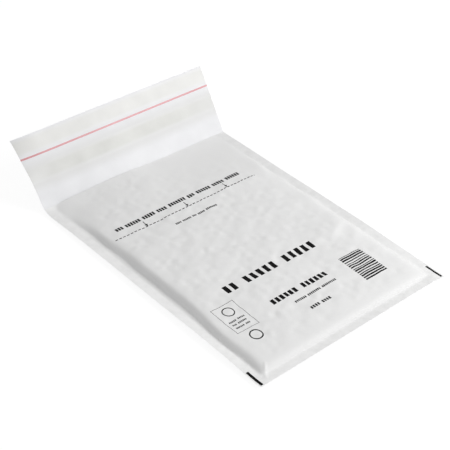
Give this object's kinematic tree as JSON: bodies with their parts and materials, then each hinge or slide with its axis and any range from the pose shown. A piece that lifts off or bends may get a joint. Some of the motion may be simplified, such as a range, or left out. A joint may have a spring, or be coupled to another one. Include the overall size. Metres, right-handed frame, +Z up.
{
  "type": "padded envelope",
  "caption": "Flat padded mailing envelope with welded seams and a bubble lining, its flap raised to show a tear strip between peel-off seals.",
  "frame": {"origin": "on the resting face, under the middle of the pouch", "axes": "+X across the width, +Y from the bottom seam to the mouth and flap, +Z up from the resting face to the printed face"},
  "size_m": [0.2, 0.3145, 0.0574],
  "materials": {
    "front_paper": "smooth white paper, printed in grey and black",
    "back_paper": "smooth white paper, plain",
    "bubble_film": "clear bubble film",
    "tear_film": "pink-red film strip",
    "adhesive": "tacky hot-melt glue",
    "release_paper": "smooth off-white release paper"
  },
  "bodies": {
    "root": {"front_sheet": "front_paper", "back_sheet": "back_paper", "front_bubble_lining": "bubble_film", "back_bubble_lining": "bubble_film", "tear_strip": "tear_film", "first_adhesive_band": "adhesive", "first_peel_strip": "release_paper", "second_adhesive_band": "adhesive", "second_peel_strip": "release_paper"}
  },
  "joints": []
}
